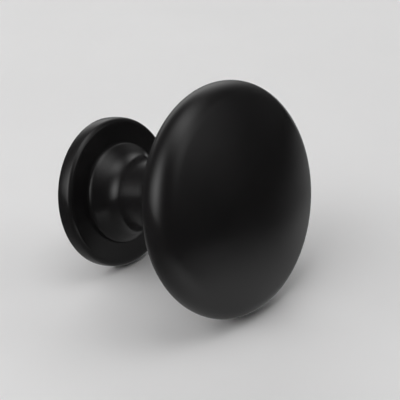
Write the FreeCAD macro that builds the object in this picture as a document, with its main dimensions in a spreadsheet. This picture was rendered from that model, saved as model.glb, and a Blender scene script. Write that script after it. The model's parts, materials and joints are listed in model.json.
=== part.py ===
"""Cabinet knob: a one-piece cast and turned metal knob with a round base, a waisted neck and a domed head.

The knob is drawn on its own axis, standing on its mounting face, and is then turned so that it stands
out from an upright door: the mounting face lies in the plane y = 0, the head points along -Y and +Z is up.
All lengths are in millimetres.
"""
import FreeCAD
import Part
import enum
import math
import os

import Sketcher

doc = FreeCAD.newDocument("CabinetKnob")

# Driving dimensions: name, value, what it measures.
SIZES = [
    ("projection", 26.1, "mounting face to the top of the crown"),
    ("head_diameter", 30.0, "largest diameter of the head"),
    ("crown_rise", 5.24, "plane of the largest diameter to the top of the crown"),
    ("rim_front_radius", 3.0, "rounding between the head's rim and its crown"),
    ("rim_back_radius", 3.3, "rounding between the head's rim and its underside"),
    ("underside_slope", 12.0, "fall of the head's underside towards the neck, in degrees"),
    ("flare_radius", 8.0, "hollow that carries the neck out into the underside"),
    ("neck_diameter", 9.46, "straight part of the neck"),
    ("cove_radius", 2.75, "hollow between the neck and the boss"),
    ("boss_diameter", 13.6, "boss where it meets the base flange"),
    ("boss_shoulder_radius", 1.2, "rounded shoulder of the boss"),
    ("boss_slope", 45.0, "lean of the boss's cone towards the axis, in degrees"),
    ("flange_diameter", 20.0, "base flange, at the widest of its wall"),
    ("flange_crown_radius", 5.5, "outward curve of the flange's wall"),
    ("flange_thickness", 2.4, "mounting face to the flange's front face"),
    ("flange_edge_radius", 0.7, "rounding of the flange's front edge"),
    ("back_edge_chamfer", 0.25, "bevel of the flange's back edge"),
    ("seat_width", 1.9, "rim of the back that seats on the door, with its bevel"),
    ("relief_depth", 0.7, "ring-shaped relief inside that rim"),
    ("relief_draft", 10.0, "slope of the relief's walls, in degrees"),
    ("hub_diameter", 9.0, "flat land round the screw hole"),
    ("thread_diameter", 4.0, "M4 screw thread, across the thread's roots"),
    ("thread_depth", 12.0, "full depth of the screw hole"),
    ("drill_point_angle", 118.0, "point of the drill at the hole's end, in degrees"),
    ("lead_in_diameter", 4.4, "countersink at the hole's mouth"),
    ("lead_in_angle", 90.0, "angle of that countersink, in degrees"),
]

sheet = doc.addObject("Spreadsheet::Sheet", "Sizes")
for row, (name, value, meaning) in enumerate(SIZES, start=1):
    sheet.set("A%d" % row, name)
    sheet.set("B%d" % row, str(value))
    sheet.set("C%d" % row, meaning)
    sheet.setAlias("B%d" % row, name)
doc.recompute()


class Spot(enum.IntEnum):
    """The point of a sketch edge that a constraint holds."""

    START = enum.auto()
    END = enum.auto()
    CENTRE = enum.auto()


class Axis(enum.IntEnum):
    """The numbers that a sketch gives to its own two axes."""

    HORIZONTAL = -1
    VERTICAL = -2


START, END, CENTRE = Spot
ORIGIN = (Axis.HORIZONTAL, START)


def worked_out(expression):
    """Works out an expression over the sheet's sizes, for the starting shape of a sketch."""
    return float(sheet.evalExpression(expression))


def point(radius, height):
    """A sketch point at a distance from the knob's axis and a height above the mounting face."""
    return FreeCAD.Vector(radius, height, 0)


def direction(angle):
    """A unit vector in a sketch, at an angle in radians from the radial direction."""
    return point(math.cos(angle), math.sin(angle))


def angle_of(vector):
    """The angle of a sketch vector, in radians from the radial direction."""
    return math.atan2(vector.y, vector.x)


def new_sketch(body, name, plane_role):
    """Adds an empty sketch to a body, on one of its origin planes."""
    plane = next(feature for feature in body.Origin.OriginFeatures if feature.Role == plane_role)
    sketch = body.newObject("Sketcher::SketchObject", name)
    sketch.AttachmentSupport = [(plane, "")]
    sketch.MapMode = "FlatFace"
    return sketch


def add_line(sketch, start, end):
    """Adds a straight edge and returns its number."""
    return sketch.addGeometry(Part.LineSegment(start, end), False)


def add_arc(sketch, centre, start, end):
    """Adds an arc that runs anticlockwise from one point to another, and returns its number."""
    circle = Part.Circle(centre, FreeCAD.Vector(0, 0, 1), (start - centre).Length)
    arc = Part.ArcOfCircle(circle, angle_of(start - centre), angle_of(end - centre))
    return sketch.addGeometry(arc, False)


def bind(sketch, name, kind, elements, expression):
    """Adds a dimension to a sketch and ties it to the sheet."""
    starting_value = worked_out(expression)
    if kind == "Angle":
        starting_value = math.radians(starting_value)
    index = sketch.addConstraint(Sketcher.Constraint(kind, *elements, starting_value))
    sketch.renameConstraint(index, name)
    sketch.setExpression("Constraints." + name, expression)


def join(sketch, kind, joins):
    """Constrains pairs of edges, each given as edge, point, edge, point."""
    for elements in joins:
        sketch.addConstraint(Sketcher.Constraint(kind, *elements))


# Sizes that follow from the driving ones. A rounding is held within the wall that it is cut from.
FLANGE_EDGE = "min(Sizes.flange_edge_radius; 0.9 * (Sizes.flange_thickness - Sizes.back_edge_chamfer))"
WALL_MIDDLE = "(Sizes.back_edge_chamfer + Sizes.flange_thickness - %s) / 2" % FLANGE_EDGE
WALL_CENTRE = "Sizes.flange_diameter / 2 - Sizes.flange_crown_radius"
BOSS_RADIUS = "Sizes.boss_diameter / 2"
NECK_RADIUS = "Sizes.neck_diameter / 2"
CONE_ANGLE = "(90 + Sizes.boss_slope) * 1 deg"
CONE_SHARE = "(1 - cos(Sizes.boss_slope * 1 deg))"
BOSS_STEP = "(Sizes.boss_diameter - Sizes.neck_diameter) / 2"
COVE = "min(Sizes.cove_radius; 0.9 * (%s / %s - Sizes.boss_shoulder_radius))" % (BOSS_STEP, CONE_SHARE)
HEAD_RADIUS = "Sizes.head_diameter / 2"
RIM_HEIGHT = "Sizes.projection - Sizes.crown_rise"
UNDERSIDE_SLOPE = "Sizes.underside_slope * 1 deg"
UNDERSIDE_WIDTH = "(Sizes.head_diameter - Sizes.neck_diameter) / 2 / (1 - sin(Sizes.underside_slope * 1 deg))"
FLARE = "min(Sizes.flare_radius; 0.95 * (%s - Sizes.rim_back_radius))" % UNDERSIDE_WIDTH
HUB_RADIUS = "Sizes.hub_diameter / 2"
RELIEF_RADIUS = "Sizes.flange_diameter / 2 - Sizes.seat_width"
RELIEF_WALL_ANGLE = "(90 + Sizes.relief_draft) * 1 deg"
THREAD_RADIUS = "Sizes.thread_diameter / 2"

body = doc.addObject("PartDesign::Body", "Knob")
body.Label = "knob"

# Outline of the knob: a starting shape for the sketch, which its constraints then hold.
neck_radius = worked_out(NECK_RADIUS)

# Base flange: a slightly crowned wall between the bevel of its back edge and the rounding of its front edge.
flange_top = worked_out("Sizes.flange_thickness")
bevel = worked_out("Sizes.back_edge_chamfer")
edge = worked_out(FLANGE_EDGE)
wall_crown = worked_out("Sizes.flange_crown_radius")
wall_centre = point(worked_out(WALL_CENTRE), worked_out(WALL_MIDDLE))
bevel_end = point(wall_centre.x + math.sqrt(wall_crown ** 2 - (wall_centre.y - bevel) ** 2), bevel)
edge_rise = flange_top - edge - wall_centre.y
edge_centre = wall_centre + point(math.sqrt((wall_crown - edge) ** 2 - edge_rise ** 2), edge_rise)
wall_end = wall_centre + direction(angle_of(edge_centre - wall_centre)) * wall_crown

# Rim and crown: the crown's arc is centred on the axis and runs tangent into the rim's.
top = point(0, worked_out("Sizes.projection"))
rim_widest = point(worked_out(HEAD_RADIUS), worked_out(RIM_HEIGHT))
rim_front = worked_out("Sizes.rim_front_radius")
rim_front_centre = rim_widest - point(rim_front, 0)
rise = top.y - rim_widest.y
crown_radius = (rim_front_centre.x ** 2 + rise ** 2 - rim_front ** 2) / (2 * (rise - rim_front))
crown_centre = top - point(0, crown_radius)
crown_join = crown_centre + direction(angle_of(rim_front_centre - crown_centre)) * crown_radius

# Underside: a line at the given slope, tangent to the rim's back and to the flare of the neck.
slope = math.radians(worked_out(UNDERSIDE_SLOPE))
underside_normal = point(math.sin(slope), -math.cos(slope))
rim_back = worked_out("Sizes.rim_back_radius")
rim_back_centre = rim_widest - point(rim_back, 0)
rim_back_end = rim_back_centre + underside_normal * rim_back
flare = worked_out(FLARE)
flare_end_radius = neck_radius + flare - flare * underside_normal.x
flare_end = rim_back_end - point(1, math.tan(slope)) * (rim_back_end.x - flare_end_radius)
flare_centre = flare_end + underside_normal * flare
neck_end = point(neck_radius, flare_centre.y)

# Boss: a rounded shoulder that starts square to the flange, a short cone, and the cove below the neck.
shoulder = worked_out("Sizes.boss_shoulder_radius")
cove = worked_out(COVE)
cone_normal = direction(math.radians(worked_out("Sizes.boss_slope")))
boss_foot = point(worked_out(BOSS_RADIUS), flange_top)
shoulder_centre = boss_foot - point(shoulder, 0)
cone_start = shoulder_centre + cone_normal * shoulder
cone_rise = (cone_start.x - neck_radius - cove * (1 - cone_normal.x)) / cone_normal.y
cone_end = cone_start + point(-cone_normal.y, cone_normal.x) * cone_rise
cove_centre = cone_end + cone_normal * cove
neck_foot = point(neck_radius, cove_centre.y)

outline = new_sketch(body, "KnobOutline", "XZ_Plane")
back_start = point(0, 0)
back_end = bevel_end - point(bevel, bevel)
face_start = edge_centre + point(0, edge)
back_face = add_line(outline, back_start, back_end)
back_bevel = add_line(outline, back_end, bevel_end)
flange_wall = add_arc(outline, wall_centre, bevel_end, wall_end)
flange_edge = add_arc(outline, edge_centre, wall_end, face_start)
flange_face = add_line(outline, face_start, boss_foot)
boss_shoulder = add_arc(outline, shoulder_centre, boss_foot, cone_start)
boss_cone = add_line(outline, cone_start, cone_end)
boss_cove = add_arc(outline, cove_centre, neck_foot, cone_end)
neck = add_line(outline, neck_foot, neck_end)
neck_flare = add_arc(outline, flare_centre, flare_end, neck_end)
underside = add_line(outline, flare_end, rim_back_end)
rim_back_round = add_arc(outline, rim_back_centre, rim_back_end, rim_widest)
rim_front_round = add_arc(outline, rim_front_centre, rim_widest, crown_join)
crown = add_arc(outline, crown_centre, crown_join, top)
axis_line = add_line(outline, top, back_start)

# Square sides, and the ends that lie on the axis.
outline.addConstraint([
    Sketcher.Constraint("Horizontal", back_face),
    Sketcher.Constraint("Horizontal", flange_face),
    Sketcher.Constraint("Horizontal", boss_shoulder, CENTRE, boss_shoulder, START),
    Sketcher.Constraint("Vertical", neck),
    Sketcher.Constraint("Vertical", axis_line),
    Sketcher.Constraint("Horizontal", rim_front_round, CENTRE, rim_front_round, START),
    Sketcher.Constraint("PointOnObject", crown, CENTRE, Axis.VERTICAL),
])
join(outline, "Coincident", [
    (back_face, START, *ORIGIN),
    (back_face, END, back_bevel, START),
    (back_bevel, END, flange_wall, START),
    (flange_face, END, boss_shoulder, START),
    (crown, END, axis_line, START),
    (axis_line, END, *ORIGIN),
])
join(outline, "Tangent", [
    (flange_wall, END, flange_edge, START),
    (flange_edge, END, flange_face, START),
    (boss_shoulder, END, boss_cone, START),
    (boss_cone, END, boss_cove, END),
    (boss_cove, START, neck, START),
    (neck, END, neck_flare, END),
    (neck_flare, START, underside, START),
    (underside, END, rim_back_round, START),
    (rim_back_round, END, rim_front_round, START),
    (rim_front_round, END, crown, START),
])

bind(outline, "projection", "DistanceY", (*ORIGIN, axis_line, START), "Sizes.projection")
bind(outline, "head_radius", "DistanceX", (*ORIGIN, rim_front_round, START), HEAD_RADIUS)
bind(outline, "rim_height", "DistanceY", (*ORIGIN, rim_front_round, START), RIM_HEIGHT)
bind(outline, "rim_front_radius", "Radius", (rim_front_round,), "Sizes.rim_front_radius")
bind(outline, "rim_back_radius", "Radius", (rim_back_round,), "Sizes.rim_back_radius")
bind(outline, "underside_slope", "Angle", (underside,), UNDERSIDE_SLOPE)
bind(outline, "flare_radius", "Radius", (neck_flare,), FLARE)
bind(outline, "neck_radius", "DistanceX", (*ORIGIN, neck, START), NECK_RADIUS)
bind(outline, "cove_radius", "Radius", (boss_cove,), COVE)
bind(outline, "cone_angle", "Angle", (boss_cone,), CONE_ANGLE)
bind(outline, "boss_shoulder_radius", "Radius", (boss_shoulder,), "Sizes.boss_shoulder_radius")
bind(outline, "boss_radius", "DistanceX", (*ORIGIN, flange_face, END), BOSS_RADIUS)
bind(outline, "wall_crown_radius", "Radius", (flange_wall,), "Sizes.flange_crown_radius")
bind(outline, "wall_centre_radius", "DistanceX", (*ORIGIN, flange_wall, CENTRE), WALL_CENTRE)
bind(outline, "wall_centre_height", "DistanceY", (*ORIGIN, flange_wall, CENTRE), WALL_MIDDLE)
bind(outline, "flange_thickness", "DistanceY", (*ORIGIN, flange_face, START), "Sizes.flange_thickness")
bind(outline, "flange_edge_radius", "Radius", (flange_edge,), FLANGE_EDGE)
bind(outline, "bevel_width", "DistanceX", (back_bevel, START, back_bevel, END), "Sizes.back_edge_chamfer")
bind(outline, "bevel_height", "DistanceY", (back_bevel, START, back_bevel, END), "Sizes.back_edge_chamfer")
doc.recompute()

turned = body.newObject("PartDesign::Revolution", "TurnedKnob")
turned.Profile = outline
turned.ReferenceAxis = (outline, ["V_Axis"])
turned.Angle = 360
outline.Visibility = False
doc.recompute()
solid_volume = body.Shape.Volume

# Relief in the back: a ring-shaped recess, so that only the outer rim and the hub touch the door.
relief_floor = worked_out("Sizes.relief_depth")
draft = relief_floor * math.tan(math.radians(worked_out("Sizes.relief_draft")))
hub_foot = point(worked_out(HUB_RADIUS), 0)
seat_foot = point(worked_out(RELIEF_RADIUS), 0)
floor_outer = seat_foot + point(-draft, relief_floor)
floor_inner = hub_foot + point(draft, relief_floor)

relief_outline = new_sketch(body, "ReliefOutline", "XZ_Plane")
mouth = add_line(relief_outline, hub_foot, seat_foot)
outer_wall = add_line(relief_outline, seat_foot, floor_outer)
floor = add_line(relief_outline, floor_outer, floor_inner)
inner_wall = add_line(relief_outline, floor_inner, hub_foot)
relief_outline.addConstraint([
    Sketcher.Constraint("PointOnObject", mouth, START, Axis.HORIZONTAL),
    Sketcher.Constraint("Horizontal", mouth),
    Sketcher.Constraint("Horizontal", floor),
    Sketcher.Constraint("Equal", outer_wall, inner_wall),
])
join(relief_outline, "Coincident", [
    (mouth, END, outer_wall, START),
    (outer_wall, END, floor, START),
    (floor, END, inner_wall, START),
    (inner_wall, END, mouth, START),
])
bind(relief_outline, "hub_radius", "DistanceX", (*ORIGIN, mouth, START), HUB_RADIUS)
bind(relief_outline, "relief_radius", "DistanceX", (*ORIGIN, mouth, END), RELIEF_RADIUS)
bind(relief_outline, "relief_depth", "DistanceY", (*ORIGIN, floor, START), "Sizes.relief_depth")
bind(relief_outline, "wall_angle", "Angle", (outer_wall,), RELIEF_WALL_ANGLE)
doc.recompute()

relief = body.newObject("PartDesign::Groove", "BackRelief")
relief.Profile = relief_outline
relief.ReferenceAxis = (relief_outline, ["V_Axis"])
relief.Angle = 360
relief_outline.Visibility = False
doc.recompute()
relieved_volume = body.Shape.Volume
if relieved_volume >= solid_volume:
    raise RuntimeError("the back relief removed nothing")

# Screw hole: a blind hole up the axis, with a drill point and a countersunk mouth.
hole_centre = new_sketch(body, "ScrewHoleCentre", "XY_Plane")
hole_circle = hole_centre.addGeometry(
    Part.Circle(point(0, 0), FreeCAD.Vector(0, 0, 1), worked_out(THREAD_RADIUS)), False)
join(hole_centre, "Coincident", [(hole_circle, CENTRE, *ORIGIN)])
bind(hole_centre, "hole_radius", "Radius", (hole_circle,), THREAD_RADIUS)
doc.recompute()

hole = body.newObject("PartDesign::Hole", "ScrewHole")
hole.Profile = hole_centre
hole.Reversed = True
hole.ThreadType = "None"
hole.setExpression("Diameter", "Sizes.thread_diameter * 1 mm")
hole.DepthType = "Dimension"
hole.setExpression("Depth", "Sizes.thread_depth * 1 mm")
hole.DrillPoint = "Angled"
hole.setExpression("DrillPointAngle", "Sizes.drill_point_angle * 1 deg")
hole.HoleCutType = "Countersink"
hole.HoleCutCustomValues = True
hole.setExpression("HoleCutDiameter", "Sizes.lead_in_diameter * 1 mm")
hole.setExpression("HoleCutCountersinkAngle", "Sizes.lead_in_angle * 1 deg")
hole_centre.Visibility = False
doc.recompute()
if body.Shape.Volume >= relieved_volume:
    raise RuntimeError("the screw hole removed nothing")

# As mounted: the axis turns from +Z to -Y, out from the door.
body.Placement = FreeCAD.Placement(FreeCAD.Vector(0, 0, 0), FreeCAD.Rotation(FreeCAD.Vector(1, 0, 0), 90))
doc.recompute()

# Nothing is written unless every object is sound.
for feature in doc.Objects:
    if "Invalid" in feature.State or "Error" in feature.State:
        raise RuntimeError("%s did not build: %s" % (feature.Label, feature.State))
for sketch in (outline, relief_outline, hole_centre):
    if not sketch.FullyConstrained:
        raise RuntimeError("%s is not fully constrained" % sketch.Label)

os.makedirs("parts", exist_ok=True)
shape = body.Shape
if shape.isNull() or not shape.isValid():
    raise RuntimeError("%s has no valid shape" % body.Label)
shape.exportStep(os.path.join("parts", body.Label + ".step"))
print("%s: %d solid, %.1f mm3, box %s" % (body.Label, len(shape.Solids), shape.Volume, shape.BoundBox))
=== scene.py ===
"""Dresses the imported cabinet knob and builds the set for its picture.

Everything is in metres, in the knob's mounted frame: the mounting face lies in y = 0, the head points along
-Y and +Z is up, as on a door. In the picture the knob lies on a pale floor, on the edge of its base and the
rim of its head. So the set is laid out in the floor's own frame and then tilted under the knob.

A black coat shows what it mirrors and a pale floor shows how it is lit, so the set keeps the two apart. Soft
boxes light the paper, and a dim room with patches of light stands round it for the coat to mirror.
"""
import json
import logging
import math
from dataclasses import dataclass, field
from enum import Enum

import bpy
from mathutils import Matrix, Vector


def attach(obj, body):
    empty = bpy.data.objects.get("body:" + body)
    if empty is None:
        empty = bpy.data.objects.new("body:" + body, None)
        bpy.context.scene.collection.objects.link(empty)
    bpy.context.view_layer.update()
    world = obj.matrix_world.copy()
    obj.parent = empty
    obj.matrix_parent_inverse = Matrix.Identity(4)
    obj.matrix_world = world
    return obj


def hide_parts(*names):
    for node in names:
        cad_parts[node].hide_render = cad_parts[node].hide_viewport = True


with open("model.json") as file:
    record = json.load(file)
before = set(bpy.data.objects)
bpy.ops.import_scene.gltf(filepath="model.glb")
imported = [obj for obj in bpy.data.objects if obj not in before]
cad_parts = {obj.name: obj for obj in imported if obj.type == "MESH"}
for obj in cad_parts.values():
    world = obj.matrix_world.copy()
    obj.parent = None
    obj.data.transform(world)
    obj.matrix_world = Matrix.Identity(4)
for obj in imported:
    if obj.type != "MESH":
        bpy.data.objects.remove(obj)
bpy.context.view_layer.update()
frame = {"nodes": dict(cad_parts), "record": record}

MM = 0.001
LOG = logging.getLogger("knob")

# How bright the paper is far from the knob, where floor and backdrop run into each other.
FAR_RADIANCE = 0.68

Colour = tuple[float, float, float]
Point = tuple[float, float, float]


class Body(Enum):
    """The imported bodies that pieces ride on."""

    WHOLE = "root"


class Slot(Enum):
    """The record's material slots."""

    KNOB = "knob"


class SeenBy(Enum):
    """Which rays find a piece of the set."""

    CAMERA = ("camera",)
    CAMERA_AND_LIGHT = ("camera", "diffuse", "shadow")
    MIRROR = ("glossy",)
    MATT = ("diffuse",)

    def apply(self, piece: bpy.types.Object) -> None:
        """Sets which rays find a piece."""
        for ray in ("camera", "diffuse", "glossy", "shadow"):
            setattr(piece, "visible_" + ray, ray in self.value)


class NodeSheet:
    """A material's node tree, with short calls to add and join nodes."""

    # Nearly all of a noise lies between these two greys.
    NOISE_LOW = 0.3
    NOISE_HIGH = 0.7

    def __init__(self, name: str) -> None:
        """Starts an empty material.

        Args:
            name: The material's name.
        """
        self.material = bpy.data.materials.new(name)
        self.material.use_nodes = True
        self.tree = self.material.node_tree
        self.tree.nodes.clear()
        self.output = self.add("ShaderNodeOutputMaterial")

    def add(self, kind: str, **settings) -> bpy.types.Node:
        """Adds a node.

        Args:
            kind: The node's type.
            **settings: Properties of the node itself.

        Returns:
            The new node.
        """
        node = self.tree.nodes.new(kind)
        for name, value in settings.items():
            setattr(node, name, value)
        return node

    def join(self, source: bpy.types.NodeSocket, target: bpy.types.NodeSocket) -> None:
        """Links an output to an input."""
        self.tree.links.new(source, target)

    def place(self) -> bpy.types.NodeSocket:
        """Adds the place on the surface, in the piece's own metres."""
        return self.add("ShaderNodeTexCoord").outputs["Object"]

    def noise(self, place: bpy.types.NodeSocket, grain: float, detail: float = 2.0) -> bpy.types.NodeSocket:
        """Adds a noise whose grains have a real size.

        Args:
            place: The coordinates that it is read at, in metres.
            grain: The width of one grain, in metres.
            detail: How many finer layers it has.

        Returns:
            Its grey output, from 0 to 1.
        """
        node = self.add("ShaderNodeTexNoise")
        node.inputs["Scale"].default_value = 1.0 / grain
        node.inputs["Detail"].default_value = detail
        self.join(place, node.inputs["Vector"])
        return node.outputs["Fac"]

    def spread(self, source: bpy.types.NodeSocket, low: float, high: float) -> bpy.types.NodeSocket:
        """Maps a noise onto a range.

        Args:
            source: The noise, a grey from 0 to 1.
            low: The value where it is darkest.
            high: The value where it is brightest.

        Returns:
            The mapped value.
        """
        node = self.add("ShaderNodeMapRange")
        node.inputs["From Min"].default_value = self.NOISE_LOW
        node.inputs["From Max"].default_value = self.NOISE_HIGH
        node.inputs["To Min"].default_value = low
        node.inputs["To Max"].default_value = high
        self.join(source, node.inputs["Value"])
        return node.outputs["Result"]

    def math(self, operation: str, *values: bpy.types.NodeSocket | float) -> bpy.types.NodeSocket:
        """Adds a sum.

        Args:
            operation: The name of the operation.
            *values: What it works on, each a socket or a number.

        Returns:
            The result.
        """
        node = self.add("ShaderNodeMath", operation=operation)
        for value, socket in zip(values, node.inputs):
            if isinstance(value, bpy.types.NodeSocket):
                self.join(value, socket)
            else:
                socket.default_value = value
        return node.outputs["Value"]

    def tint(self, source: bpy.types.NodeSocket, first: Colour, second: Colour) -> bpy.types.NodeSocket:
        """Blends two colours by a noise.

        Args:
            source: The noise, a grey from 0 to 1.
            first: The colour where it is darkest.
            second: The colour where it is brightest.

        Returns:
            The blended colour.
        """
        node = self.add("ShaderNodeMix", data_type="RGBA")
        node.inputs["A"].default_value = (*first, 1.0)
        node.inputs["B"].default_value = (*second, 1.0)
        self.join(self.spread(source, 0.0, 1.0), node.inputs["Factor"])
        return node.outputs["Result"]

    def bump(self, height: bpy.types.NodeSocket, depth: float,
             over: bpy.types.NodeSocket | None = None) -> bpy.types.NodeSocket:
        """Adds a fine relief.

        Args:
            height: The relief, from 0 to 1.
            depth: How deep a full step of it is, in metres.
            over: The coarser relief that it lies on, if there is one.

        Returns:
            The bent normal.
        """
        node = self.add("ShaderNodeBump")
        node.inputs["Distance"].default_value = depth
        self.join(height, node.inputs["Height"])
        if over is not None:
            self.join(over, node.inputs["Normal"])
        return node.outputs["Normal"]

    def shine(self, radiance: bpy.types.NodeSocket | float) -> bpy.types.NodeSocket:
        """Adds a surface that gives off light.

        Args:
            radiance: How much, as a socket or a number.

        Returns:
            The surface.
        """
        lamp = self.add("ShaderNodeEmission")
        if isinstance(radiance, bpy.types.NodeSocket):
            self.join(radiance, lamp.inputs["Strength"])
        else:
            lamp.inputs["Strength"].default_value = radiance
        return lamp.outputs["Emission"]

    def finish(self, surface: bpy.types.NodeSocket) -> bpy.types.Material:
        """Ends the material with its surface and returns it."""
        self.join(surface, self.output.inputs["Surface"])
        return self.material


def shaded(colour: Colour, share: float) -> Colour:
    """A colour made lighter or darker by a share."""
    return tuple(channel * share for channel in colour)


def direction(azimuth: float, elevation: float) -> Vector:
    """A direction in the floor's frame.

    Args:
        azimuth: Degrees round from -Y towards +X.
        elevation: Degrees above the floor.

    Returns:
        The unit vector.
    """
    around = math.radians(azimuth)
    up = math.radians(elevation)
    return Vector((math.sin(around) * math.cos(up), -math.cos(around) * math.cos(up), math.sin(up)))


@dataclass(frozen=True)
class SatinCoat:
    """A thin satin black coat, with the faint unevenness that a sprayed and baked coat has."""

    colour: Colour = (0.0093, 0.0088, 0.0090)
    colour_drift: float = 0.12
    refraction: float = 1.5
    roughness: float = 0.20
    roughness_drift: float = 0.02
    cloud: float = 6.0 * MM
    cloud_share: float = 0.6
    peel: float = 0.9 * MM
    peel_height: float = 0.0007 * MM
    grit: float = 0.12 * MM
    grit_height: float = 0.0002 * MM

    def material(self) -> bpy.types.Material:
        """Builds the coat's material.

        Returns:
            The material.
        """
        sheet = NodeSheet("satin_coat")
        place = sheet.place()
        shader = sheet.add("ShaderNodeBsdfPrincipled")
        shader.inputs["IOR"].default_value = self.refraction

        clouds = sheet.noise(place, self.cloud, detail=3.0)
        colour = sheet.tint(clouds, shaded(self.colour, 1 - self.colour_drift),
                            shaded(self.colour, 1 + self.colour_drift))
        sheet.join(colour, shader.inputs["Base Color"])

        grit = sheet.noise(place, self.grit)
        mixed = sheet.math("ADD", sheet.math("MULTIPLY", clouds, self.cloud_share),
                           sheet.math("MULTIPLY", grit, 1 - self.cloud_share))
        rough = sheet.spread(mixed, self.roughness - self.roughness_drift,
                             self.roughness + self.roughness_drift)
        sheet.join(rough, shader.inputs["Roughness"])

        peel = sheet.bump(sheet.noise(place, self.peel, detail=1.0), self.peel_height)
        sheet.join(sheet.bump(grit, self.grit_height, over=peel), shader.inputs["Normal"])
        return sheet.finish(shader.outputs["BSDF"])


@dataclass(frozen=True)
class BareZinc:
    """The cut metal of the thread, which the coat doesn't reach."""

    colour: Colour = (0.42, 0.42, 0.43)
    shade: float = 0.7
    roughness: float = 0.34
    roughness_drift: float = 0.08
    streak: float = 0.2 * MM
    streak_height: float = 0.001 * MM

    def material(self) -> bpy.types.Material:
        """Builds the metal's material.

        Returns:
            The material.
        """
        sheet = NodeSheet("bare_zinc")
        shader = sheet.add("ShaderNodeBsdfPrincipled")
        shader.inputs["Metallic"].default_value = 1.0
        streaks = sheet.noise(sheet.place(), self.streak, detail=3.0)
        colour = sheet.tint(streaks, shaded(self.colour, self.shade), self.colour)
        sheet.join(colour, shader.inputs["Base Color"])
        rough = sheet.spread(streaks, self.roughness + self.roughness_drift,
                             self.roughness - self.roughness_drift)
        sheet.join(rough, shader.inputs["Roughness"])
        sheet.join(sheet.bump(streaks, self.streak_height), shader.inputs["Normal"])
        return sheet.finish(shader.outputs["BSDF"])


@dataclass(frozen=True)
class PaleSheet:
    """The matt pale paper that the knob lies on. Far from the knob it turns into an even glow."""

    colour: Colour = (0.86, 0.855, 0.855)
    roughness: float = 0.9
    mottle: float = 0.012
    patch: float = 30.0 * MM
    glow_start: float = 160.0 * MM
    glow_full: float = 380.0 * MM
    far_radiance: float = FAR_RADIANCE

    def material(self) -> bpy.types.Material:
        """Builds the paper's material.

        Returns:
            The material.
        """
        sheet = NodeSheet("pale_sheet")
        place = sheet.place()
        shader = sheet.add("ShaderNodeBsdfPrincipled")
        shader.inputs["Roughness"].default_value = self.roughness
        shader.inputs["Specular IOR Level"].default_value = 0.0
        patches = sheet.noise(place, self.patch, detail=4.0)
        colour = sheet.tint(patches, shaded(self.colour, 1 - self.mottle),
                            shaded(self.colour, 1 + self.mottle))
        sheet.join(colour, shader.inputs["Base Color"])

        away = sheet.add("ShaderNodeVectorMath", operation="LENGTH")
        sheet.join(place, away.inputs[0])
        ramp = sheet.add("ShaderNodeMapRange", interpolation_type="SMOOTHSTEP")
        ramp.inputs["From Min"].default_value = self.glow_start
        ramp.inputs["From Max"].default_value = self.glow_full
        sheet.join(away.outputs["Value"], ramp.inputs["Value"])
        mixed = sheet.add("ShaderNodeMixShader")
        sheet.join(ramp.outputs["Result"], mixed.inputs["Fac"])
        sheet.join(shader.outputs["BSDF"], mixed.inputs[1])
        sheet.join(sheet.shine(self.far_radiance), mixed.inputs[2])
        return sheet.finish(mixed.outputs["Shader"])


@dataclass(frozen=True)
class Pool:
    """A soft pool of light painted on the glowing sheet that the coat mirrors. One with a negative radiance
    is a painted shadow.

    Attributes:
        x: Where it lies, in millimetres to the right of the knob's axis.
        y: Where it lies, in millimetres from the mounting face towards the door. The head is at about -20.
        reach: How far out it has fallen to about a third, in millimetres.
        radiance: What it adds in its middle.
    """

    x: float
    y: float
    reach: float
    radiance: float

    def add_to(self, sheet: NodeSheet, place: bpy.types.NodeSocket) -> bpy.types.NodeSocket:
        """Adds the pool to a material.

        Args:
            sheet: The material's nodes.
            place: The place on the floor.

        Returns:
            The radiance that the pool adds there.
        """
        away = sheet.add("ShaderNodeVectorMath", operation="DISTANCE")
        sheet.join(place, away.inputs[0])
        away.inputs[1].default_value = (self.x * MM, self.y * MM, 0.0)
        share = sheet.math("POWER", sheet.math("DIVIDE", away.outputs["Value"], self.reach * MM), 2.0)
        fall = sheet.math("EXPONENT", sheet.math("MULTIPLY", share, -1.0))
        return sheet.math("MULTIPLY", fall, self.radiance)


@dataclass(frozen=True)
class Patch:
    """A soft patch of light in the room, as the knob sees it.

    Attributes:
        azimuth: Degrees round from the head's side towards the right.
        elevation: Degrees above the floor.
        spread: How far out it has fallen to about three fifths, in degrees.
        radiance: What it adds in its middle.
    """

    azimuth: float
    elevation: float
    spread: float
    radiance: float

    def add_to(self, sheet: NodeSheet, place: bpy.types.NodeSocket) -> bpy.types.NodeSocket:
        """Adds the patch to a material.

        Args:
            sheet: The material's nodes.
            place: The place on the dome round the knob.

        Returns:
            The radiance that the patch adds there.
        """
        unit = sheet.add("ShaderNodeVectorMath", operation="NORMALIZE")
        sheet.join(place, unit.inputs[0])
        along = sheet.add("ShaderNodeVectorMath", operation="DOT_PRODUCT")
        sheet.join(unit.outputs["Vector"], along.inputs[0])
        along.inputs[1].default_value = direction(self.azimuth, self.elevation)
        off = sheet.math("SUBTRACT", along.outputs["Value"], 1.0)
        fall = sheet.math("EXPONENT", sheet.math("DIVIDE", off, math.radians(self.spread) ** 2))
        return sheet.math("MULTIPLY", fall, self.radiance)


@dataclass(frozen=True)
class DimGlow:
    """What the coat mirrors: a dim glowing surface with soft lights and shadows painted on it."""

    name: str
    lights: tuple[Pool | Patch, ...]
    dimmest: float = 0.02

    def material(self) -> bpy.types.Material:
        """Builds the material.

        Returns:
            The material.
        """
        sheet = NodeSheet(self.name)
        place = sheet.place()
        total = self.dimmest
        for light in self.lights:
            total = sheet.math("ADD", total, light.add_to(sheet, place))
        return sheet.finish(sheet.shine(total))
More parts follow.
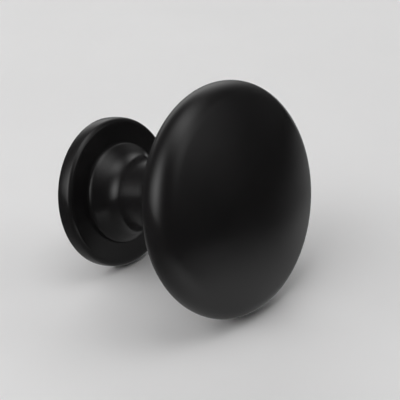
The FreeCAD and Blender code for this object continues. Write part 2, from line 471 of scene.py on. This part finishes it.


# The paper as the coat mirrors it, painted as light on a glowing sheet: pools of light in front of the head,
# most to its right, and a painted shadow under its rim. Where these lights and the room's lie and how strong
# they are was fitted to the tones of the coat in the picture.
PAINTED_SHEET_REFLECTION = DimGlow("painted_sheet_reflection", (
    Pool(-2, -36, reach=22, radiance=0.35),
    Pool(-22, -36, reach=16, radiance=0.35),
    # A painted shadow: a dark spot in the glow under the head's rim, where the head meets the floor.
    Pool(-4, -23, reach=5, radiance=-0.2),
    Pool(-2, 4, reach=12, radiance=0.23),
    Pool(0, -72, reach=24, radiance=0.19),
    Pool(28, -26, reach=12, radiance=0.17),
    Pool(57, -24, reach=24, radiance=0.11),
    Pool(50, 14, reach=24, radiance=1.0),
    Pool(112, 50, reach=60, radiance=1.0),
))

# The room as the coat mirrors it: bright overhead and on both sides behind the knob, and dim in front.
MIRRORED_ROOM = DimGlow("mirrored_room", (
    Patch(0, 82, spread=13.5, radiance=1.09),
    Patch(180, 74, spread=13.5, radiance=0.98),
    Patch(0, 54, spread=13.5, radiance=0.6),
    Patch(-120, 34, spread=13.5, radiance=1.15),
    Patch(-108, 18, spread=13.5, radiance=1.48),
    Patch(-134, 14, spread=7.1, radiance=0.35),
    Patch(120, 34, spread=13.5, radiance=0.44),
    Patch(132, 18, spread=13.5, radiance=0.71),
    Patch(156, 4, spread=13.5, radiance=0.58),
    Patch(0, 34, spread=13.5, radiance=0.14),
    Patch(30, 34, spread=13.5, radiance=0.29),
    Patch(84, 18, spread=13.5, radiance=0.08),
))


@dataclass(frozen=True)
class Glow:
    """A surface that shines evenly."""

    radiance: float

    def material(self) -> bpy.types.Material:
        """Builds the glowing material."""
        sheet = NodeSheet("glow")
        return sheet.finish(sheet.shine(self.radiance))


def mesh_object(name: str, points: list[Point | Vector], faces: list[tuple[int, ...]],
                material: bpy.types.Material) -> bpy.types.Object:
    """Makes a smooth mesh object.

    Args:
        name: The object's name.
        points: Its vertices, in metres.
        faces: Its faces, as vertex numbers.
        material: Its finish.

    Returns:
        The new object.
    """
    mesh = bpy.data.meshes.new(name)
    mesh.from_pydata(points, [], faces)
    mesh.validate()
    mesh.polygons.foreach_set("use_smooth", [True] * len(mesh.polygons))
    mesh.materials.append(material)
    piece = bpy.data.objects.new(name, mesh)
    bpy.context.scene.collection.objects.link(piece)
    return piece


class Outline:
    """Half of a turned piece's section, drawn as (radius, height) points from its inside to its top."""

    def __init__(self, radius: float, height: float) -> None:
        """Starts the outline.

        Args:
            radius: The first point's distance from the axis.
            height: Its height above the mounting face.
        """
        self.points = [(radius, height)]
        self.corners: set[int] = set()

    def line(self, radius: float, height: float, guard: float = 0.03 * MM) -> None:
        """Draws a straight run to a point, with a point close to each end that keeps its shading flat.

        Args:
            radius: The end point's distance from the axis.
            height: Its height.
            guard: How far from the ends those two points lie.
        """
        start = Vector(self.points[-1])
        run = Vector((radius, height)) - start
        if run.length > 3 * guard:
            along = run.normalized() * guard
            self.points += [tuple(start + along), tuple(start + run - along)]
        self.points.append((radius, height))

    def corner(self) -> None:
        """Makes the last point a sharp corner."""
        self.corners.add(len(self.points) - 1)

    def arc(self, centre: Vector, radius: float, start: float, end: float, step: float = 3.0) -> None:
        """Draws an arc that starts at the last point.

        Args:
            centre: Its centre.
            radius: Its radius.
            start: The angle that it starts at, in degrees from the radial direction.
            end: The angle that it ends at.
            step: The largest angle between two of its points.
        """
        count = max(2, math.ceil(abs(end - start) / step))
        for i in range(1, count + 1):
            angle = math.radians(start + (end - start) * i / count)
            self.points.append((centre.x + radius * math.cos(angle), centre.y + radius * math.sin(angle)))


def polar(angle: float) -> Vector:
    """A unit vector in a section, at an angle in degrees from the radial direction."""
    return Vector((math.cos(math.radians(angle)), math.sin(math.radians(angle))))


@dataclass
class TurnedKnob:
    """The casting, turned again from its own sizes as one even mesh, with its coat.

    Lengths are in metres and angles in degrees. The two steps are the angles between points of the outline.
    """

    node: str = "knob"
    sides: int = 256
    projection: float = 26.1 * MM
    head_radius: float = 15.0 * MM
    crown_rise: float = 5.24 * MM
    rim_front_radius: float = 3.0 * MM
    rim_back_radius: float = 3.3 * MM
    underside_slope: float = 12.0
    flare_radius: float = 8.0 * MM
    neck_radius: float = 4.73 * MM
    cove_radius: float = 2.75 * MM
    boss_radius: float = 6.8 * MM
    boss_shoulder_radius: float = 1.2 * MM
    boss_slope: float = 45.0
    flange_radius: float = 10.0 * MM
    flange_crown_radius: float = 5.5 * MM
    flange_thickness: float = 2.4 * MM
    flange_edge_radius: float = 0.7 * MM
    back_edge_chamfer: float = 0.25 * MM
    seat_width: float = 1.9 * MM
    relief_depth: float = 0.7 * MM
    relief_draft: float = 10.0
    hub_radius: float = 4.5 * MM
    hole_radius: float = 2.0 * MM
    hole_depth: float = 12.0 * MM
    drill_half_angle: float = 59.0
    lead_in_depth: float = 0.2 * MM
    flange_step: float = 1.5
    crown_step: float = 1.0
    on_axis: float = 0.001 * MM
    coat: SatinCoat = SatinCoat()

    def _back(self) -> Outline:
        """Draws the screw hole and the relief of the back, up to the seat.

        Returns:
            The outline so far.
        """
        tip = self.hole_depth + self.hole_radius / math.tan(math.radians(self.drill_half_angle))
        draft = self.relief_depth * math.tan(math.radians(self.relief_draft))
        seat_radius = self.flange_radius - self.seat_width
        outline = Outline(0.0, tip)
        for radius, height in (
            (self.hole_radius, self.hole_depth),
            (self.hole_radius, self.lead_in_depth),
            (self.hole_radius + self.lead_in_depth, 0.0),
            (self.hub_radius, 0.0),
            (self.hub_radius + draft, self.relief_depth),
            (seat_radius - draft, self.relief_depth),
            (seat_radius, 0.0),
        ):
            outline.line(radius, height)
            outline.corner()
        return outline

    def _base(self, outline: Outline) -> None:
        """Draws the flange's edge and the boss, up to the neck.

        Args:
            outline: The outline, which ends at the seat.
        """
        edge = self.flange_edge_radius
        crown = self.flange_crown_radius
        middle = (self.back_edge_chamfer + self.flange_thickness - edge) / 2
        wall = Vector((self.flange_radius - crown, middle))
        back_angle = math.degrees(math.asin((self.back_edge_chamfer - middle) / crown))
        edge_angle = math.degrees(math.asin((self.flange_thickness - edge - middle) / (crown - edge)))
        bevel_end = wall + crown * polar(back_angle)
        outline.line(bevel_end.x - self.back_edge_chamfer, 0.0)
        outline.corner()
        outline.line(*bevel_end)
        outline.corner()
        outline.arc(wall, crown, back_angle, edge_angle, step=self.flange_step)
        outline.arc(wall + (crown - edge) * polar(edge_angle), edge, edge_angle, 90.0)
        outline.line(self.boss_radius, self.flange_thickness)
        outline.corner()
        shoulder = Vector((self.boss_radius - self.boss_shoulder_radius, self.flange_thickness))
        outline.arc(shoulder, self.boss_shoulder_radius, 0.0, self.boss_slope)
        normal = polar(self.boss_slope)
        start = Vector(outline.points[-1])
        run = (start.x - self.neck_radius - self.cove_radius * (1 - normal.x)) / normal.y
        end = start + run * Vector((-normal.y, normal.x))
        outline.line(*end)
        outline.arc(end + self.cove_radius * normal, self.cove_radius, 180.0 + self.boss_slope, 180.0)

    def _head(self, outline: Outline) -> None:
        """Draws the neck, the flare and the head, up to the top of the crown.

        Args:
            outline: The outline, which ends at the foot of the neck.
        """
        slope = 90.0 - self.underside_slope
        rim_height = self.projection - self.crown_rise
        back = Vector((self.head_radius - self.rim_back_radius, rim_height))
        front = Vector((self.head_radius - self.rim_front_radius, rim_height))
        back_start = back + self.rim_back_radius * polar(-slope)
        flare_x = self.neck_radius + self.flare_radius
        flare_end_x = flare_x + self.flare_radius * polar(180.0 - slope).x
        drop = math.tan(math.radians(self.underside_slope)) * (back_start.x - flare_end_x)
        flare_end = Vector((flare_end_x, back_start.y - drop))
        flare = flare_end - self.flare_radius * polar(180.0 - slope)
        outline.line(self.neck_radius, flare.y)
        outline.arc(flare, self.flare_radius, 180.0, 180.0 - slope)
        outline.line(*back_start)
        outline.arc(back, self.rim_back_radius, -slope, 0.0)
        rise = self.crown_rise
        reach = front.x
        crown = (reach ** 2 + rise ** 2 - self.rim_front_radius ** 2) / (2 * (rise - self.rim_front_radius))
        centre = Vector((0.0, self.projection - crown))
        join = math.degrees(math.atan2(front.y - centre.y, front.x))
        outline.arc(front, self.rim_front_radius, 0.0, join)
        outline.arc(centre, crown, join, 90.0, step=self.crown_step)

    def build(self) -> bpy.types.Object:
        """Turns the outline round the axis.

        Returns:
            The casting.
        """
        outline = self._back()
        self._base(outline)
        self._head(outline)
        points = []
        rings = []
        for radius, height in outline.points:
            sides = 1 if radius < self.on_axis else self.sides
            rings.append([len(points) + i for i in range(sides)])
            for i in range(sides):
                angle = math.tau * i / self.sides
                points.append((radius * math.sin(angle), -height, radius * math.cos(angle)))
        faces = []
        for low, high in zip(rings, rings[1:]):
            for i in range(self.sides):
                corners = (low[i % len(low)], high[i % len(high)],
                           high[(i + 1) % len(high)], low[(i + 1) % len(low)])
                # On the axis two of the corners are one point.
                faces.append(tuple(dict.fromkeys(corners)))
        casting = mesh_object("turned_knob", points, faces, self.coat.material())
        sharp_ring = {vertex: index for index in outline.corners for vertex in rings[index]}
        for edge in casting.data.edges:
            start, end = edge.vertices
            edge.use_edge_sharp = start in sharp_ring and sharp_ring[start] == sharp_ring.get(end)
        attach(casting, Body.WHOLE.value)
        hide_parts(self.node)
        return casting


@dataclass
class ScrewThread:
    """The turns of the M4 thread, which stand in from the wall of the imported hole.

    Attributes:
        major_radius: The hole's radius.
        mouth: How far the hole's mouth is above the mounting face.
        depth: How deep the thread goes.
        pitch: The height of one turn.
        minor_radius: The radius inside the ridge.
        root_share: The ridge's width at the wall, as a share of the pitch.
        crest_share: Its width inside, as a share of the pitch.
        bury: How deep the ridge goes into the wall.
        steps: How many sections one turn has.
        run_out: The part of a turn over which each end of the ridge rises.
        metal: Its finish.
    """

    major_radius: float
    mouth: float
    depth: float
    pitch: float = 0.7 * MM
    minor_radius: float = 1.621 * MM
    root_share: float = 7 / 8
    crest_share: float = 1 / 4
    bury: float = 0.02 * MM
    steps: int = 48
    run_out: float = 0.75
    metal: BareZinc = BareZinc()

    def build(self) -> bpy.types.Object:
        """Sweeps the thread's ridge up its helix.

        Returns:
            The thread.
        """
        root_half = self.pitch * self.root_share / 2
        crest_half = self.pitch * self.crest_share / 2
        turns = (self.depth - 2 * root_half) / self.pitch
        count = int(turns * self.steps)
        points = []
        for step in range(count + 1):
            turn = step / self.steps
            rise = min(1.0, turn / self.run_out, (count / self.steps - turn) / self.run_out)
            crest = self.major_radius - (self.major_radius - self.minor_radius) * rise
            root = self.major_radius + self.bury
            height = self.mouth + root_half + turn * self.pitch
            angle = math.tau * turn
            side = crest_half + (root_half - crest_half) * (1 - rise)
            for radius, offset in ((root, -root_half), (crest, -side), (crest, side), (root, root_half)):
                points.append((radius * math.sin(angle), -height - offset, radius * math.cos(angle)))
        faces = []
        for step in range(count):
            near, far = 4 * step, 4 * step + 4
            for corner in range(4):
                beside = (corner + 1) % 4
                faces.append((near + corner, near + beside, far + beside, far + corner))
        faces.append((3, 2, 1, 0))
        faces.append(tuple(4 * count + corner for corner in range(4)))
        thread = mesh_object("screw_thread", points, faces, self.metal.material())
        thread.data.polygons.foreach_set("use_smooth", [False] * len(thread.data.polygons))
        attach(thread, Body.WHOLE.value)
        return thread


@dataclass
class Tilt:
    """How the floor lies under the knob: it touches the back edge of the base and the rim of the head.

    Attributes:
        node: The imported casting's node.
        base_depth: How far the base reaches from the mounting face.
        lowest_band: Points of the base that are this close to its lowest one are on its edge.
        angle: The floor's slope, in radians.
        matrix: The turn from the floor's frame to the knob's.
        floor_height: The floor's height in its own frame.
    """

    node: str = "knob"
    base_depth: float = 2.4 * MM
    lowest_band: float = 0.01 * MM
    angle: float = field(init=False)
    matrix: Matrix = field(init=False)
    floor_height: float = field(init=False)

    def __post_init__(self) -> None:
        """Finds the floor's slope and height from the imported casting."""
        corners = [vertex.co for vertex in frame["nodes"][self.node].data.vertices]
        base = [corner for corner in corners if corner.y > -self.base_depth]
        lowest = min(corner.z for corner in base)
        edge = max((corner for corner in base if corner.z < lowest + self.lowest_band),
                   key=lambda corner: corner.y)
        head = [corner for corner in corners if corner.z < edge.z]
        self.angle = max(math.atan2(edge.z - corner.z, edge.y - corner.y) for corner in head)
        self.matrix = Matrix.Rotation(self.angle, 4, "X")
        self.floor_height = (self.matrix.inverted() @ edge).z


def lay_out(piece: bpy.types.Object, tilt: Tilt, seen_by: SeenBy) -> None:
    """Tilts a piece of the set with the floor and sets which rays find it.

    Args:
        piece: The piece, placed in the floor's frame.
        tilt: The floor's tilt.
        seen_by: Which rays find it.
    """
    piece.matrix_world = tilt.matrix @ piece.matrix_basis
    seen_by.apply(piece)


def ring(radius: float, sides: int, height: float = 0.0) -> list[Point]:
    """The corners of a level ring round the Z axis, in order."""
    angles = [math.tau * i / sides for i in range(sides)]
    return [(radius * math.cos(angle), radius * math.sin(angle), height) for angle in angles]


@dataclass
class Floor:
    """A wide pale floor, and a glowing copy of it that the coat mirrors, with pools of light and a shadow
    painted on it.
    """

    tilt: Tilt
    radius: float = 1.6
    sides: int = 96
    finish: PaleSheet = PaleSheet()
    painted_reflection_finish: DimGlow = PAINTED_SHEET_REFLECTION

    def build(self) -> None:
        """Lays the floor, once for the camera and the light, and once as a glowing copy with painted light
        and shade for the coat.
        """
        rim = ring(self.radius, self.sides)
        whole = [tuple(range(self.sides))]
        for name, finish, seen_by in (
            ("floor", self.finish, SeenBy.CAMERA_AND_LIGHT),
            ("painted_reflection_floor", self.painted_reflection_finish, SeenBy.MIRROR),
        ):
            piece = mesh_object(name, rim, whole, finish.material())
            piece.matrix_basis = Matrix.Translation((0, 0, self.tilt.floor_height))
            lay_out(piece, self.tilt, seen_by)


@dataclass
class Backdrop:
    """A pale wall far round the floor, which only the camera sees."""

    tilt: Tilt
    radius: float = 1.55
    height: float = 1.5
    sides: int = 96
    radiance: float = FAR_RADIANCE

    def build(self) -> None:
        """Stands the wall round the floor."""
        low = self.tilt.floor_height
        points = ring(self.radius, self.sides, low) + ring(self.radius, self.sides, low + self.height)
        faces = []
        for i in range(self.sides):
            beside = (i + 1) % self.sides
            faces.append((i, beside, self.sides + beside, self.sides + i))
        wall = mesh_object("backdrop", points, faces, Glow(self.radiance).material())
        lay_out(wall, self.tilt, SeenBy.CAMERA)


@dataclass
class SoftBox:
    """A soft light on the paper: a glowing square that faces the knob."""

    name: str
    tilt: Tilt
    azimuth: float
    elevation: float
    distance: float
    width: float
    height: float
    glow: Glow

    def build(self, aim: Vector) -> None:
        """Hangs the light.

        Args:
            aim: The point in the floor's frame that it faces.
        """
        half_w, half_h = self.width / 2, self.height / 2
        corners = [(-half_w, -half_h, 0), (half_w, -half_h, 0), (half_w, half_h, 0), (-half_w, half_h, 0)]
        box = mesh_object(self.name, corners, [(0, 1, 2, 3)], self.glow.material())
        outwards = direction(self.azimuth, self.elevation)
        place = Matrix.Translation(aim + outwards * self.distance)
        box.matrix_basis = place @ outwards.to_track_quat("Z", "Y").to_matrix().to_4x4()
        lay_out(box, self.tilt, SeenBy.MATT)


@dataclass
class Room:
    """The dome round the set that the coat mirrors."""

    tilt: Tilt
    radius: float = 1.5
    rings: int = 24
    sides: int = 64
    finish: DimGlow = MIRRORED_ROOM

    def build(self, aim: Vector) -> None:
        """Builds the dome over the floor.

        Args:
            aim: The point in the floor's frame that it stands round.
        """
        points = []
        for level in range(self.rings):
            for side in range(self.sides):
                points.append(self.radius * direction(360.0 * side / self.sides, 90.0 * level / self.rings))
        top = len(points)
        points.append(Vector((0.0, 0.0, self.radius)))
        faces = []
        for start in range(0, top, self.sides):
            for side in range(self.sides):
                low, beside = start + side, start + (side + 1) % self.sides
                if start + self.sides < top:
                    faces.append((low, beside, beside + self.sides, low + self.sides))
                else:
                    faces.append((low, beside, top))
        dome = mesh_object("room_dome", points, faces, self.finish.material())
        dome.matrix_basis = Matrix.Translation((aim.x, aim.y, self.tilt.floor_height))
        lay_out(dome, self.tilt, SeenBy.MIRROR)


@dataclass
class PictureCamera:
    """The camera, at the picture's distance and angle."""

    tilt: Tilt
    azimuth: float = -51.92
    elevation: float = 27.57
    distance: float = 192.9 * MM
    aim: Point = (1.19 * MM, -14.41 * MM, 2.82 * MM)
    lens: float = 135.0
    sensor: float = 36.0
    nearest: float = 0.01
    farthest: float = 4.0

    def build(self) -> None:
        """Sets up the camera."""
        data = bpy.data.cameras.new("picture_camera")
        data.lens = self.lens
        data.sensor_width = self.sensor
        data.clip_start = self.nearest
        data.clip_end = self.farthest
        camera = bpy.data.objects.new("picture_camera", data)
        bpy.context.scene.collection.objects.link(camera)
        back = direction(self.azimuth, self.elevation)
        turn = back.to_track_quat("Z", "Y").to_matrix().to_4x4()
        place = Matrix.Translation(Vector(self.aim) + back * self.distance)
        camera.matrix_world = self.tilt.matrix @ place @ turn
        bpy.context.scene.camera = camera


@dataclass
class Studio:
    """The set: floor, backdrop, soft boxes, the room that the coat mirrors, and the camera.

    Attributes:
        tilt: The floor's tilt.
        aim: The point that the soft boxes face and the room stands round, in the floor's frame.
        ambient: The even light from all round.
        box_distance: How far the soft boxes are from the knob.
        box_size: Their width, and the height of most of them.
        low_box_height: The height of the two that stand near the floor.
    """

    tilt: Tilt
    aim: Point = (0.0, -14.0 * MM, 3.0 * MM)
    ambient: float = 0.05
    box_distance: float = 0.6
    box_size: float = 0.42
    low_box_height: float = 0.32

    def build(self) -> None:
        """Builds the set."""
        aim = Vector(self.aim)
        Floor(self.tilt).build()
        Backdrop(self.tilt).build()
        Room(self.tilt).build(aim)
        for name, azimuth, elevation, height, radiance in (
            ("top_box", 0, 88, self.box_size, 1.95),
            ("high_left_box", -120, 65, self.box_size, 0.92),
            ("left_box", -90, 40, self.box_size, 2.2),
            ("front_box", 45, 40, self.box_size, 1.12),
            ("back_left_box", -135, 15, self.low_box_height, 3.02),
            ("back_right_box", 135, 15, self.low_box_height, 3.82),
        ):
            box = SoftBox(name, self.tilt, azimuth, elevation, self.box_distance, self.box_size, height,
                          Glow(radiance))
            box.build(aim)
        PictureCamera(self.tilt).build()
        self._light_evenly()

    def _light_evenly(self) -> None:
        """Sets the even light from all round, and the view transform."""
        scene = bpy.context.scene
        world = bpy.data.worlds.new("room")
        world.use_nodes = True
        background = world.node_tree.nodes["Background"]
        background.inputs["Color"].default_value = (1.0, 1.0, 1.0, 1.0)
        background.inputs["Strength"].default_value = self.ambient
        scene.world = world
        scene.view_settings.view_transform = "Standard"
        scene.view_settings.look = "None"


def main() -> None:
    """Builds the knob's pieces and the set, in order."""
    logging.basicConfig(level=logging.INFO, format="%(name)s: %(message)s")
    casting = TurnedKnob().build()
    LOG.info("casting %s, %d faces", casting.name, len(casting.data.polygons))
    hole = next(mount for mount in frame["record"]["mounts"] if mount["name"] == "screw_hole")
    thread = ScrewThread(major_radius=hole["dims"]["r_mm"] * MM, mouth=-hole["pos_m"][1],
                         depth=hole["dims"]["length_mm"] * MM).build()
    LOG.info("thread %s, %d faces", thread.name, len(thread.data.polygons))
    tilt = Tilt()
    LOG.info("floor tilted by %.2f degrees, height %.5f", math.degrees(tilt.angle), tilt.floor_height)
    Studio(tilt).build()


if __name__ == "__main__":
    main()
